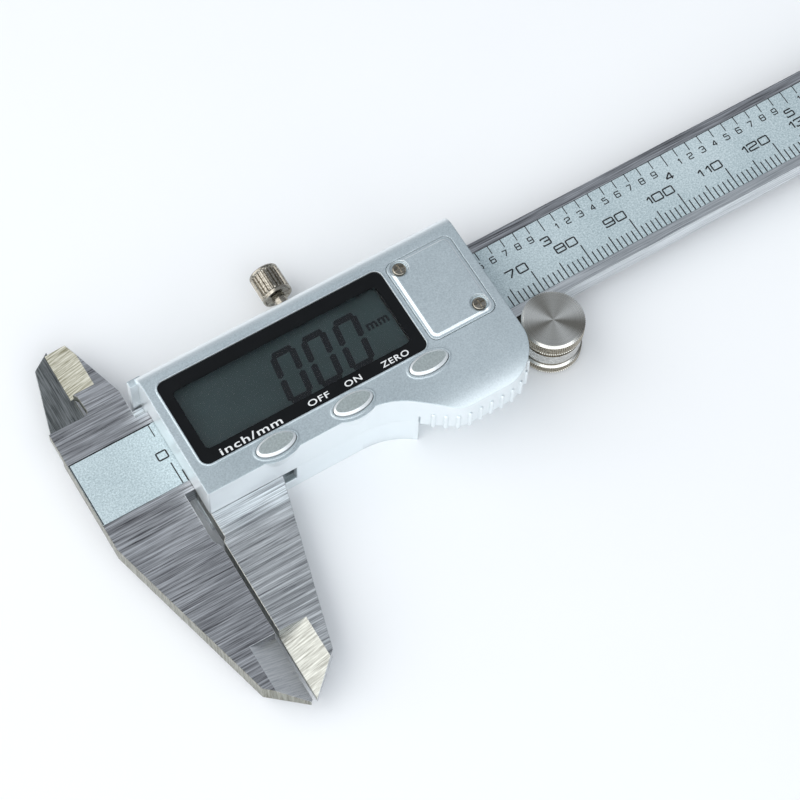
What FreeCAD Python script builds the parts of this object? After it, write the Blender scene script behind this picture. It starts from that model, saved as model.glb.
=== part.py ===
import FreeCAD, Part
import math
import os

# Digital caliper, 150 mm, modelled with its jaws open by JAW_GAP.
# Working coordinates: x runs along the beam from the fixed outside measuring face, y across
# it from the beam's centre line, z from the beam's printed front face towards the reader.
# Every piece is moved by FRAME_SHIFT when it is written, so that the origin of the finished
# part is the centre of its footprint, on the surface that the back of the slider rests on.

os.makedirs("parts", exist_ok=True)
V = FreeCAD.Vector

# ---- driving dimensions, in mm ---------------------------------------------------------
BEAM_LEFT = -14.9
BEAM_RIGHT = 220.6
BEAM_HALF = 8.0
BEAM_THICK = 4.0
JAW_GAP = 0.65
JAW_TIP_Y = -48.45
INSIDE_TIP_Y = 27.3
INSIDE_EDGE_X = -8.6
LABEL_HALF = 6.12
KNIFE_DEPTH = 2.8

BODY_LEFT = 1.1
BODY_RIGHT = 60.5
BODY_TOP = 11.8
BODY_BOTTOM = -13.2
LOBE_BOTTOM = -20.5
LOBE_START = 38.9
LOBE_UNDERSIDE = -0.6
FACE_Z = 8.2
SEAM_Z = 0.1
REST_Z = -7.0
WALL = 1.2
TOP_WALL = 1.5

WEB_Z = -6.0
WEB_TOP_Z = -4.08
RAIL_TOP_Z = 0.4
RAIL_OUTER = 10.55
RAIL_INNER = 8.9
BOARD_TOP_Z = 1.4

WINDOW = (2.95, 45.35, -8.75, 8.15)
COVER = (46.2, 58.9, -8.4, 8.0)
RECESS_Z = 7.4
CELL_X = 52.55
CELL_Y = -0.2
CELL_RADIUS = 5.8
CELL_HEIGHT = 5.4

BUTTON_X = 14.85
BUTTON_PITCH = 14.4
BUTTON_Y = -11.15
BUTTON_HALF_LENGTH = 3.55
BUTTON_HALF_WIDTH = 1.75
BUTTON_TRAVEL = 0.4
CAP_BEVEL = 0.4

LOCK_X = 30.9
LOCK_Z = -2.0
LOCK_HEAD_Y = (16.6, 22.1)
LOCK_HEAD_RADIUS = 2.75
LOCK_SHANK = 1.23
ROLLER_X = 67.3
ROLLER_Y = -12.75
ROLLER_RADIUS = 5.44
HUB_RADIUS = 4.7
ROLLER_Z = (-6.5, -4.3, 0.15, 3.0)

REAR_THREAD = 1.0
LONG_THREAD = 0.75
CLIP_THREAD = 0.7
FINE_THREAD = 0.6
GIB_THREAD = 0.9
SINK_DEPTH = 0.9
LONG_TIP_Z = 5.5
BOARD_SCREW_TIP_Z = -1.2
COVER_SEAT_Z = 7.9
COVER_TIP_Z = 4.1
COVER_HEAD_RADIUS = 1.2
BOSS_BOTTOM_Z = 3.6
BOSS_RADIUS = 1.15

LONG_EDGE_RADIUS = 3.0
LIP_WIDTH = 0.25
COLLAR_WIDTH = 0.5
COLLAR_RISE = 0.12
RIB_PITCH = 2.05
RIB_RADIUS = 0.42
RIB_TOP_Z = 3.2
LABEL_END = 217.0
GLASS_Z = (4.9, 6.5)

ROD_END = BEAM_RIGHT + JAW_GAP
FRAME_SHIFT = V(-(BEAM_LEFT + ROD_END) / 2, -(JAW_TIP_Y + INSIDE_TIP_Y) / 2, -REST_Z)


# ---- shape helpers -----------------------------------------------------------------------
def box(x0, x1, y0, y1, z0, z1):
    return Part.makeBox(x1 - x0, y1 - y0, z1 - z0, V(x0, y0, z0))


def pin_z(x, y, z0, z1, radius):
    return Part.makeCylinder(radius, z1 - z0, V(x, y, z0))


def pin_y(x, z, y0, y1, radius):
    return Part.makeCylinder(radius, y1 - y0, V(x, y0, z), V(0, 1, 0))


def cone_z(x, y, z0, z1, radius0, radius1):
    return Part.makeCone(radius0, radius1, z1 - z0, V(x, y, z0))


def outline(corners):
    """Closed wire through corners (x, y, r), each rounded by its radius r."""
    points = [V(x, y, 0) for x, y, r in corners]
    turns = []
    for i, (x, y, r) in enumerate(corners):
        here = points[i]
        back = (points[i - 1] - here).normalize()
        ahead = (points[(i + 1) % len(points)] - here).normalize()
        if r == 0:
            turns.append((here, None, here))
            continue
        half = back.getAngle(ahead) / 2
        reach = r / math.tan(half)
        inward = (back + ahead).normalize()
        middle = here + inward * (r / math.sin(half) - r)
        turns.append((here + back * reach, middle, here + ahead * reach))
    edges = []
    for i, (start, middle, finish) in enumerate(turns):
        if middle is not None:
            edges.append(Part.Arc(start, middle, finish).toShape())
        following = turns[(i + 1) % len(turns)][0]
        if finish.distanceToPoint(following) > 1e-6:
            edges.append(Part.LineSegment(finish, following).toShape())
    return Part.Wire(edges)


def prism(corners, z0, z1, inset=0):
    """Upright prism on a rounded outline, pulled in by inset all round."""
    face = Part.Face(outline(corners))
    if inset:
        face = face.makeOffset2D(-inset)
    face.translate(V(0, 0, z0))
    return face.extrude(V(0, 0, z1 - z0))


def prism_y(points_xz, y0, y1):
    """Prism along Y on a polygon given as (x, z)."""
    corners = [V(x, y0, z) for x, z in points_xz]
    face = Part.Face(Part.makePolygon(corners + corners[:1]))
    return face.extrude(V(0, y1 - y0, 0))


def rounded_rectangle(limits, r, grow=0):
    x0, x1, y0, y1 = limits
    x0, x1, y0, y1 = x0 - grow, x1 + grow, y0 - grow, y1 + grow
    return [(x0, y0, r), (x1, y0, r), (x1, y1, r), (x0, y1, r)]


def oval_wire(x, y, z, half_length, half_width):
    return Part.Wire(Part.Ellipse(V(x, y, z), half_length, half_width).toShape())


def oval(x, y, z0, z1, half_length, half_width):
    face = Part.Face(oval_wire(x, y, z0, half_length, half_width))
    return face.extrude(V(0, 0, z1 - z0))


def ring_sector(x, y, z0, z1, inner, outer, start_deg, sweep_deg):
    """Part of an upright ring, from start_deg anticlockwise through sweep_deg."""
    up = V(0, 0, 1)
    sector = Part.makeCylinder(outer, z1 - z0, V(x, y, z0), up, sweep_deg)
    sector.rotate(V(x, y, z0), up, start_deg)
    return sector.cut(pin_z(x, y, z0, z1, inner))


def fuse(*shapes):
    return shapes[0].multiFuse(list(shapes[1:])).removeSplitter()


def cut(shape, *tools):
    return shape.cut(Part.makeCompound(list(tools)))


def group(shapes):
    """Identical separate solids that share one node."""
    return Part.makeCompound(shapes)


def cross_recess(x, y, z0, z1, arm):
    """Cross-shaped driver recess, arm mm from the centre to the end of each slot."""
    slot = arm * 0.36
    along = box(x - arm, x + arm, y - slot / 2, y + slot / 2, z0, z1)
    across = box(x - slot / 2, x + slot / 2, y - arm, y + arm, z0, z1)
    return along.fuse(across)


def countersink(x, y, shank):
    return cone_z(x, y, REST_Z, REST_Z + SINK_DEPTH, shank + SINK_DEPTH, shank)


def countersunk_screw(x, y, tip_z, shank):
    """Screw driven from the back: its flush head lies in the resting plane."""
    body = fuse(countersink(x, y, shank), pin_z(x, y, REST_Z + SINK_DEPTH, tip_z, shank))
    recess = cross_recess(x, y, REST_Z - 0.1, REST_Z + 0.6 * SINK_DEPTH, 0.6 * (shank + SINK_DEPTH))
    return cut(body, recess)


def write(name, shape):
    """Check a piece, move it into the part's frame and write it."""
    if not shape.isValid():
        raise ValueError(name + " is not a valid shape")
    placed = shape.copy()
    placed.translate(FRAME_SHIFT)
    placed.exportStep("parts/" + name + ".step")
    print(f"{name:24s} solids {len(placed.Solids)} volume {placed.Volume:9.2f}")


# ---- outlines and hole positions shared by several pieces -----------------------------------
FRONT_OUTLINE = [
    (BODY_LEFT, BODY_BOTTOM, 0.3),
    (34.5, BODY_BOTTOM, 14.0),
    (44.6, LOBE_BOTTOM, 5.9),
    (BODY_RIGHT, LOBE_BOTTOM, 7.2),
    (BODY_RIGHT, BODY_TOP, 1.2),
    (BODY_LEFT, BODY_TOP, 0.5),
]
REAR_OUTLINE = [
    (BODY_LEFT, BODY_BOTTOM, 0.3),
    (34.5, BODY_BOTTOM, 14.0),
    (LOBE_START, -16.4, 0),
    (LOBE_START, BODY_BOTTOM, 0),
    (BODY_RIGHT, BODY_BOTTOM, 0.8),
    (BODY_RIGHT, BODY_TOP, 1.2),
    (BODY_LEFT, BODY_TOP, 0.5),
]
BUTTON_CENTRES = [BUTTON_X + BUTTON_PITCH * i for i in range(3)]
REAR_SCREWS = [(x, y) for x in (9.0, 53.0) for y in (-6.2, 6.2)]
LONG_SCREWS = [(22.0, -9.3), (36.5, -9.3)]
BOARD_SCREWS = [(x, y) for x in (8.0, 54.0) for y in (-9.3, 9.65)]
COVER_SCREWS = [(48.4, 6.2), (56.55, -6.0)]
GIB_SCREW_X = (14.0, 48.0)
STOP_SCREW_Y = (-4.3, 4.3)
STOP_X = 216.0
SPRING_SCREW_X = 46.5
SPRING_SCREW_TIP_Y = -8.6
STRIP_Y = (-11.3, -10.9)
STRIP_Z = (-3.4, -0.8)


# ---- the beam and what is fixed to it --------------------------------------------------------
def make_beam():
    """Ground steel bar with the fixed jaws in one piece."""
    bar = box(BEAM_LEFT, BEAM_RIGHT, -BEAM_HALF, BEAM_HALF, -BEAM_THICK, 0)
    outside_jaw = prism([
        (BEAM_LEFT, 0, 0), (BEAM_LEFT, -10.9, 0.6), (-6.43, -43.3, 0.3), (-0.4, JAW_TIP_Y, 0),
        (0, JAW_TIP_Y + 0.35, 0), (0, -18.84, 0), (-0.8, -17.5, 0.5), (-0.8, 0, 0),
    ], -BEAM_THICK, 0)
    inside_jaw = prism([
        (BEAM_LEFT, 7.0, 0), (BEAM_LEFT, 12.65, 0), (-7.4, 12.65, 0.8), (-7.6, 16.3, 0),
        (-8.1, 17.1, 0), (INSIDE_EDGE_X, 17.1, 0), (INSIDE_EDGE_X, 26.6, 0), (-4.9, 26.1, 0.2),
        (-1.1, 13.9, 0.5), (-1.1, 7.0, 0),
    ], -BEAM_THICK / 2, 0)
    outside_knife = prism_y([(-4.7, 0), (0.1, -KNIFE_DEPTH), (0.1, 0.1), (-4.7, 0.1)], -49, -36.2)
    inside_knife = prism_y([(-4.1, 0), (-8.7, -1.75), (-8.7, 0.1), (-4.1, 0.1)], 17.1, 27)
    label_groove = box(BEAM_LEFT + 0.1, LABEL_END, -LABEL_HALF - 0.03, LABEL_HALF + 0.03, -0.75, 0)
    rod_groove = box(2.5, BEAM_RIGHT, -1.6, 1.6, -BEAM_THICK, -2.55)
    stop_holes = [pin_z(STOP_X, y, -BEAM_THICK, -1.5, 0.9) for y in STOP_SCREW_Y]
    steel = fuse(bar, outside_jaw, inside_jaw)
    return cut(steel, outside_knife, inside_knife, label_groove, rod_groove, *stop_holes)


def make_end_stop():
    plate = prism([
        (213, -6, 0.8), (219, -6, 0.8), (219, 6, 0.8), (213, 6, 0.8),
    ], -BEAM_THICK - 1, -BEAM_THICK)
    holes = [pin_z(STOP_X, y, -BEAM_THICK - 1, -BEAM_THICK, 0.9) for y in STOP_SCREW_Y]
    return cut(plate, *holes)


def make_stop_screw(y):
    seat = -BEAM_THICK - 1
    body = fuse(pin_z(STOP_X, y, seat - 0.6, seat, 1.6), pin_z(STOP_X, y, seat, -1.5, 0.9))
    return cut(body, box(STOP_X - 1.7, STOP_X + 1.7, y - 0.2, y + 0.2, seat - 0.7, seat - 0.3))


write("beam", make_beam())
write("scale_circuit", box(BEAM_LEFT + 0.15, LABEL_END, -LABEL_HALF, LABEL_HALF, -0.75, -0.2))
write("scale_label", box(BEAM_LEFT + 0.15, LABEL_END, -LABEL_HALF, LABEL_HALF, -0.2, 0.03))
write("end_stop", make_end_stop())
write("end_stop_screws", group([make_stop_screw(y) for y in STOP_SCREW_Y]))


# ---- the steel slider ----------------------------------------------------------------------------
def make_slider_frame():
    """Channel that runs on the beam, with the moving jaws in one piece."""
    left, right = 2.6, 59.1
    web = box(left, right, -RAIL_OUTER, RAIL_OUTER, WEB_Z, WEB_TOP_Z)
    lower_rail = box(left, right, -RAIL_OUTER, -8.05, WEB_TOP_Z, RAIL_TOP_Z)
    upper_rail = box(left, right, RAIL_INNER, RAIL_OUTER, WEB_TOP_Z, RAIL_TOP_Z)
    spring_pad = box(44.5, 48.5, STRIP_Y[1], -RAIL_OUTER, STRIP_Z[0], STRIP_Z[1])
    outside_jaw = prism([
        (1.2, -8.05, 0), (1.2, -17.8, 0.4), (JAW_GAP, -18.45, 0), (JAW_GAP, JAW_TIP_Y, 0),
        (6.57, -43.3, 0.3), (14.5, -14.0, 0), (14.9, -12.6, 0), (14.9, -8.05, 0),
    ], -BEAM_THICK, 0)
    edge = INSIDE_EDGE_X + JAW_GAP
    back_half = -BEAM_THICK / 2 - 0.05
    inside_jaw = prism([
        (-14.6, 8.2, 0), (-14.6, 12.8, 0), (-11.2, 25.1, 0.4), (edge, INSIDE_TIP_Y, 0),
        (edge, 12.4, 0.4), (-1.6, 12.4, 0), (-1.6, 10.4, 0.3), (6.0, 10.4, 0), (6.0, 8.95, 0),
        (left, 8.95, 0), (left, 8.2, 0),
    ], -BEAM_THICK - 0.05, back_half)
    knife_x = JAW_GAP + 5.0
    outside_knife = prism_y([
        (knife_x, 0), (JAW_GAP - 0.1, -KNIFE_DEPTH), (JAW_GAP - 0.1, 0.1), (knife_x, 0.1),
    ], -49, -36.27)
    inside_knife = prism_y([
        (edge - 4.4, -4.2), (edge - 4.4, -BEAM_THICK), (edge + 0.1, back_half - 0.2), (edge + 0.1, -4.2),
    ], 17.0, 28)
    holes = [pin_z(x, y, WEB_Z, WEB_TOP_Z, REAR_THREAD) for x, y in REAR_SCREWS]
    holes += [pin_z(x, y, WEB_Z, RAIL_TOP_Z, LONG_THREAD) for x, y in LONG_SCREWS]
    holes += [pin_z(x, y, BOARD_SCREW_TIP_Z, RAIL_TOP_Z, FINE_THREAD) for x, y in BOARD_SCREWS]
    holes += [pin_y(x, LOCK_Z, RAIL_INNER, RAIL_OUTER, GIB_THREAD) for x in GIB_SCREW_X]
    holes.append(pin_y(LOCK_X, LOCK_Z, RAIL_INNER, RAIL_OUTER, LOCK_SHANK + 0.07))
    holes.append(pin_y(SPRING_SCREW_X, LOCK_Z, STRIP_Y[1], SPRING_SCREW_TIP_Y, CLIP_THREAD))
    holes.append(box(4.2, 7.8, -1.4, 1.4, WEB_Z, WEB_TOP_Z))
    steel = fuse(web, lower_rail, upper_rail, spring_pad, outside_jaw, inside_jaw)
    return cut(steel, outside_knife, inside_knife, *holes)


def make_gib_screw(x):
    screw = pin_y(x, LOCK_Z, RAIL_INNER, RAIL_OUTER - 0.1, GIB_THREAD)
    slot = box(x - 1, x + 1, RAIL_OUTER - 0.6, RAIL_OUTER, LOCK_Z - 0.15, LOCK_Z + 0.15)
    return cut(screw, slot)


def make_lock_screw():
    """Thumb screw that clamps the gib strip: threaded shank and a grip head."""
    head_y, end_y = LOCK_HEAD_Y
    head = pin_y(LOCK_X, LOCK_Z, head_y, end_y, LOCK_HEAD_RADIUS)
    head = head.makeChamfer(0.35, head.Edges)
    shank = pin_y(LOCK_X, LOCK_Z, RAIL_INNER + 0.05, head_y + 0.2, LOCK_SHANK)
    return fuse(head, shank)


def make_depth_rod():
    """Thin rod in the beam's back groove; its foot is pressed into the slider's web."""
    rod = box(4.2, ROD_END, -1.5, 1.5, -3.9, -2.7)
    foot = box(4.2, 7.8, -1.4, 1.4, WEB_Z + 0.1, -3.9)
    tip_notch = prism([
        (ROD_END - 5, 1.6, 0), (ROD_END - 4, 0.4, 0), (ROD_END, 0.4, 0), (ROD_END, 1.6, 0),
    ], -4, -2.6)
    return cut(fuse(rod, foot), tip_notch)


write("slider_frame", make_slider_frame())
write("gib_strip", box(3.5, 58.5, 8.05, 8.85, -3.95, -0.05))
write("gib_screws", group([make_gib_screw(x) for x in GIB_SCREW_X]))
write("lock_screw", make_lock_screw())
write("depth_rod", make_depth_rod())


# ---- the thumb roller and its spring ------------------------------------------------------------
def make_thumb_roller():
    """Spool whose hub rolls on the beam's lower edge, between two rims."""
    bottom, lower, upper, top = ROLLER_Z
    lower_rim = pin_z(ROLLER_X, ROLLER_Y, bottom, lower, ROLLER_RADIUS)
    lower_rim = lower_rim.makeChamfer(0.25, lower_rim.Edges)
    upper_rim = pin_z(ROLLER_X, ROLLER_Y, upper, top, ROLLER_RADIUS)
    upper_rim = upper_rim.makeChamfer(0.25, upper_rim.Edges)
    hub = pin_z(ROLLER_X, ROLLER_Y, lower - 0.1, upper + 0.1, HUB_RADIUS)
    return fuse(hub, lower_rim, upper_rim)


def make_roller_spring():
    """Spring steel strip that cradles the hub and presses it against the beam."""
    inner = HUB_RADIUS + 0.08
    outer = inner + STRIP_Y[1] - STRIP_Y[0]
    middle = (STRIP_Y[0] + STRIP_Y[1]) / 2
    bend = middle - ROLLER_Y
    bend_x = ROLLER_X - (inner + outer) / 2 - bend
    thin = (outer - inner) / 2
    straight = box(44.6, bend_x, STRIP_Y[0], STRIP_Y[1], STRIP_Z[0], STRIP_Z[1])
    turn = ring_sector(bend_x, ROLLER_Y, STRIP_Z[0], STRIP_Z[1], bend - thin, bend + thin, 0, 90)
    cradle = ring_sector(ROLLER_X, ROLLER_Y, STRIP_Z[0], STRIP_Z[1], inner, outer, 180, 170)
    strip = fuse(straight, turn, cradle)
    return cut(strip, pin_y(SPRING_SCREW_X, LOCK_Z, STRIP_Y[0], STRIP_Y[1], CLIP_THREAD))


def make_spring_screw():
    head = pin_y(SPRING_SCREW_X, LOCK_Z, STRIP_Y[0] - 0.6, STRIP_Y[0], 1.3)
    shank = pin_y(SPRING_SCREW_X, LOCK_Z, STRIP_Y[0], SPRING_SCREW_TIP_Y, CLIP_THREAD)
    slot = box(SPRING_SCREW_X - 1.4, SPRING_SCREW_X + 1.4, STRIP_Y[0] - 0.7, STRIP_Y[0] - 0.3,
               LOCK_Z - 0.15, LOCK_Z + 0.15)
    return cut(fuse(head, shank), slot)


write("thumb_roller", make_thumb_roller())
write("roller_spring", make_roller_spring())
write("roller_spring_screw", make_spring_screw())


# ---- electronics ------------------------------------------------------------------------------------
def make_circuit_board():
    board = box(3.0, 59.0, -11.9, 10.4, RAIL_TOP_Z, BOARD_TOP_Z)
    holes = [pin_z(x, y, RAIL_TOP_Z, BOARD_TOP_Z, FINE_THREAD) for x, y in BOARD_SCREWS]
    holes += [pin_z(x, y, RAIL_TOP_Z, BOARD_TOP_Z, LONG_THREAD) for x, y in LONG_SCREWS]
    return cut(board, *holes)


def make_board_screw(x, y):
    head = pin_z(x, y, BOARD_TOP_Z, BOARD_TOP_Z + 0.5, 0.9)
    body = fuse(head, pin_z(x, y, BOARD_SCREW_TIP_Z, BOARD_TOP_Z, FINE_THREAD))
    return cut(body, cross_recess(x, y, BOARD_TOP_Z + 0.25, BOARD_TOP_Z + 0.6, 0.65))


def make_dome(x):
    """Snap dome switch that the button's stem presses."""
    return cone_z(x, BUTTON_Y + 0.55, BOARD_TOP_Z, BOARD_TOP_Z + 0.5, 1.25, 0.6)


def make_display_frame():
    """Plastic cradle that holds the display glass and its contact strips."""
    wall = box(3.7, 44.7, -7.8, 7.8, BOARD_TOP_Z, FACE_Z - TOP_WALL)
    return cut(wall, box(4.9, 43.5, -6.7, 6.5, BOARD_TOP_Z, FACE_Z))


def make_positive_contact():
    blade = box(46.45, 46.72, -2.0, 2.0, BOARD_TOP_Z, 6.4)
    foot = box(45.2, 46.6, -2.0, 2.0, BOARD_TOP_Z, BOARD_TOP_Z + 0.27)
    return fuse(blade, foot)


def make_battery_holder():
    """Plastic ring round the cell, notched for the contact blade and the cover screw bosses."""
    ring = pin_z(CELL_X, CELL_Y, BOARD_TOP_Z, FACE_Z - TOP_WALL, CELL_RADIUS + 0.55)
    well = pin_z(CELL_X, CELL_Y, BOARD_TOP_Z, FACE_Z, CELL_RADIUS + 0.1)
    slot = box(45.9, 47.6, -2.3, 2.3, BOARD_TOP_Z, FACE_Z)
    notches = [pin_z(x, y, BOSS_BOTTOM_Z - 0.3, FACE_Z, BOSS_RADIUS + 0.1) for x, y in COVER_SCREWS]
    return cut(ring, well, slot, *notches)


def make_battery_cell():
    """Button cell: a can with a smaller raised contact on its underside."""
    floor = BOARD_TOP_Z + 0.35
    contact = pin_z(CELL_X, CELL_Y, floor, floor + 0.4, CELL_RADIUS - 0.9)
    can = pin_z(CELL_X, CELL_Y, floor + 0.4, floor + CELL_HEIGHT, CELL_RADIUS)
    return fuse(contact, can)


write("circuit_board", make_circuit_board())
write("board_screws", group([make_board_screw(x, y) for x, y in BOARD_SCREWS]))
write("driver_chip", cone_z(24, 0, BOARD_TOP_Z, BOARD_TOP_Z + 0.9, 3.6, 2.4))
write("switch_domes", group([make_dome(x) for x in BUTTON_CENTRES]))
write("display_frame", make_display_frame())
write("display_contacts", group([
    box(6.0, 42.0, y - 0.6, y + 0.6, BOARD_TOP_Z, GLASS_Z[0]) for y in (-5.6, 5.4)
]))
write("display_glass", box(5.0, 43.4, -6.6, 6.4, *GLASS_Z))
write("display_window", prism(rounded_rectangle(WINDOW, 1.5, -0.05), RECESS_Z, FACE_Z - 0.15))
write("battery_contact_negative", pin_z(CELL_X, CELL_Y, BOARD_TOP_Z, BOARD_TOP_Z + 0.35, 3.5))
write("battery_contact_positive", make_positive_contact())
write("battery_holder", make_battery_holder())
write("battery_cell", make_battery_cell())


# ---- front housing, buttons and battery cover ------------------------------------------------------
def make_lobe_slope():
    """Waste above the thumb lobe, whose face rolls off towards its lower edge."""
    start_y = -12.6
    drop = 1.9
    run = start_y - LOBE_BOTTOM
    radius = (run ** 2 + drop ** 2) / (2 * drop)
    top = V(31, start_y, FACE_Z)
    end_angle = math.asin(run / radius)
    half = V(31, start_y - radius * math.sin(end_angle / 2),
             FACE_Z - radius * (1 - math.cos(end_angle / 2)))
    low = V(31, LOBE_BOTTOM - 1.5, FACE_Z - drop - 1.5 * math.tan(end_angle))
    edge = V(31, LOBE_BOTTOM, FACE_Z - drop)
    high = V(31, LOBE_BOTTOM - 1.5, FACE_Z + 1)
    corner = V(31, start_y, FACE_Z + 1)
    wire = Part.Wire([
        Part.Arc(top, half, edge).toShape(), Part.LineSegment(edge, low).toShape(),
        Part.LineSegment(low, high).toShape(), Part.LineSegment(high, corner).toShape(),
        Part.LineSegment(corner, top).toShape(),
    ])
    return Part.Face(wire).extrude(V(32, 0, 0))


def make_long_edge_waste(radius):
    """Waste along the upper long edge of the face, which is rounded by radius."""
    corner = box(-2, 62, BODY_TOP - radius, BODY_TOP + 1, FACE_Z - radius, FACE_Z + 1)
    round_bar = Part.makeCylinder(radius, 66, V(-3, BODY_TOP - radius, FACE_Z - radius), V(1, 0, 0))
    return corner.cut(round_bar)


def make_button_swell(x):
    """Swelling of the wall around a button that lies close to the edge."""
    upper = oval_wire(x, BUTTON_Y, FACE_Z, BUTTON_HALF_LENGTH + 1.1, BUTTON_HALF_WIDTH + 1.1)
    lower = oval_wire(x, BUTTON_Y, 3.5, BUTTON_HALF_LENGTH + 0.2, BUTTON_HALF_WIDTH + 0.1)
    return Part.makeLoft([lower, upper], True)


def make_button_collar(x):
    return oval(x, BUTTON_Y, FACE_Z - 0.2, FACE_Z + COLLAR_RISE, BUTTON_HALF_LENGTH + COLLAR_WIDTH,
                BUTTON_HALF_WIDTH + COLLAR_WIDTH)


def make_thumb_ribs():
    """Upright round-topped ribs along the lobe's outer wall."""
    ribs = []
    for point in outline(FRONT_OUTLINE).discretize(Distance=RIB_PITCH):
        if point.x < LOBE_START + 1.2 or point.y > -16.4:
            continue
        bar = pin_z(point.x, point.y, LOBE_UNDERSIDE, RIB_TOP_Z, RIB_RADIUS)
        cap = Part.makeSphere(RIB_RADIUS, V(point.x, point.y, RIB_TOP_Z))
        ribs.append(bar.fuse(cap))
    return ribs


def make_front_housing():
    """Hollow cover with the display window, buttons and battery bay."""
    shell = prism(FRONT_OUTLINE, LOBE_UNDERSIDE, FACE_Z)
    shell = cut(shell, make_lobe_slope(), make_long_edge_waste(LONG_EDGE_RADIUS))
    side_lip = box(-0.3, BODY_LEFT + 1, BODY_TOP - WALL, BODY_TOP, SEAM_Z, FACE_Z - 2)
    swells = [make_button_swell(x) for x in BUTTON_CENTRES[:2]]
    shell = fuse(shell, side_lip, *swells)
    collars = [make_button_collar(x) for x in BUTTON_CENTRES]
    window_lip = prism(rounded_rectangle(WINDOW, 1.9, LIP_WIDTH), FACE_Z - 0.5, FACE_Z + 0.15)
    shell = fuse(shell, window_lip, *collars)

    cavity = prism(FRONT_OUTLINE, -2, FACE_Z - TOP_WALL, WALL)
    cavity = cut(cavity, box(30, 62, -21, -12.6, 4.4, FACE_Z), box(38, 62, -21, -13.3, -2, 0.4))
    below_seam = [
        box(0, 62, BODY_BOTTOM - 0.15, 13, -2, SEAM_Z),
        box(0, LOBE_START + 0.15, -18, -13, -2, SEAM_Z),
    ]
    beam_way = box(0, 62, -8.2, 8.2, -2, 0.25)
    slit = box(LOBE_START - 0.1, LOBE_START + 0.15, -17.6, -16.0, -2, 2.2)
    shell = cut(shell, cavity, *below_seam, beam_way, slit)

    window_recess = prism(rounded_rectangle(WINDOW, 1.5), RECESS_Z, FACE_Z + 1)
    window_hole = box(4.7, 43.7, -6.9, 6.6, 6, FACE_Z)
    cover_recess = prism(rounded_rectangle(COVER, 1.5), RECESS_Z, FACE_Z + 1)
    cell_hole = pin_z(CELL_X, CELL_Y, 6, FACE_Z, CELL_RADIUS + 0.15)
    button_holes = [oval(x, BUTTON_Y, 4.4, FACE_Z + 1, BUTTON_HALF_LENGTH + 0.12,
                         BUTTON_HALF_WIDTH + 0.12) for x in BUTTON_CENTRES]
    shell = cut(shell, window_recess, window_hole, cover_recess, cell_hole, *button_holes)

    web_skirt = box(BODY_LEFT, BODY_LEFT + WALL, 8.2, 10.6, -1.9, SEAM_Z)
    long_bosses = [pin_z(x, y, BOARD_TOP_Z, 6.8, 1.4) for x, y in LONG_SCREWS]
    cover_bosses = [pin_z(x, y, BOSS_BOTTOM_Z, RECESS_Z, BOSS_RADIUS) for x, y in COVER_SCREWS]
    shell = fuse(shell, web_skirt, *long_bosses, *cover_bosses, *make_thumb_ribs())
    long_holes = [pin_z(x, y, 1, LONG_TIP_Z + 0.1, LONG_THREAD) for x, y in LONG_SCREWS]
    cover_holes = [pin_z(x, y, COVER_TIP_Z - 0.1, RECESS_Z, CLIP_THREAD) for x, y in COVER_SCREWS]
    return cut(shell, *long_holes, *cover_holes)


def make_button(x):
    """Oval cap, a flange that holds it in, and a stem down to its switch."""
    top = FACE_Z + 0.75
    cap = oval(x, BUTTON_Y, 5.8, top, BUTTON_HALF_LENGTH, BUTTON_HALF_WIDTH)
    rim = [e for e in cap.Edges if e.BoundBox.ZMin > top - 0.01]
    cap = cap.makeChamfer(CAP_BEVEL, rim)
    flange = oval(x, BUTTON_Y + 0.95, 5.5, 6.4, BUTTON_HALF_LENGTH + 0.45, BUTTON_HALF_WIDTH - 0.05)
    stem = pin_z(x, BUTTON_Y + 0.55, BOARD_TOP_Z + 0.5 + BUTTON_TRAVEL + 0.1, 5.6, 0.8)
    return fuse(cap, flange, stem)


def make_battery_cover():
    """Plate with a bevelled raised panel and two sunk screw seats."""
    plate = prism(rounded_rectangle(COVER, 1.4, -0.12), RECESS_Z, FACE_Z + 0.1)
    x0, x1, y0, y1 = COVER
    panel = prism(rounded_rectangle((x0 + 0.5, x1 - 0.5, y0 + 0.5, y1 - 0.5), 1.2), FACE_Z, FACE_Z + 0.45)
    crest = [e for e in panel.Edges if e.BoundBox.ZMin > FACE_Z + 0.44]
    panel = panel.makeChamfer(0.4, crest)
    seats = [pin_z(x, y, COVER_SEAT_Z, FACE_Z + 1, 1.6) for x, y in COVER_SCREWS]
    holes = [pin_z(x, y, RECESS_Z, FACE_Z, CLIP_THREAD) for x, y in COVER_SCREWS]
    return cut(fuse(plate, panel), *seats, *holes)


def make_cover_screw(x, y):
    crown = COVER_SEAT_Z + 0.55
    head = pin_z(x, y, COVER_SEAT_Z, crown, COVER_HEAD_RADIUS)
    rim = [e for e in head.Edges if e.BoundBox.ZMin > crown - 0.01]
    head = head.makeFillet(0.3, rim)
    body = fuse(head, pin_z(x, y, COVER_TIP_Z, COVER_SEAT_Z + 0.05, CLIP_THREAD))
    return cut(body, cross_recess(x, y, crown - 0.35, crown + 0.15, 0.85))


write("front_housing", make_front_housing())
write("unit_button", make_button(BUTTON_CENTRES[0]))
write("power_button", make_button(BUTTON_CENTRES[1]))
write("zero_button", make_button(BUTTON_CENTRES[2]))
write("battery_cover", make_battery_cover())
write("battery_cover_screws", group([make_cover_screw(x, y) for x, y in COVER_SCREWS]))


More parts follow.
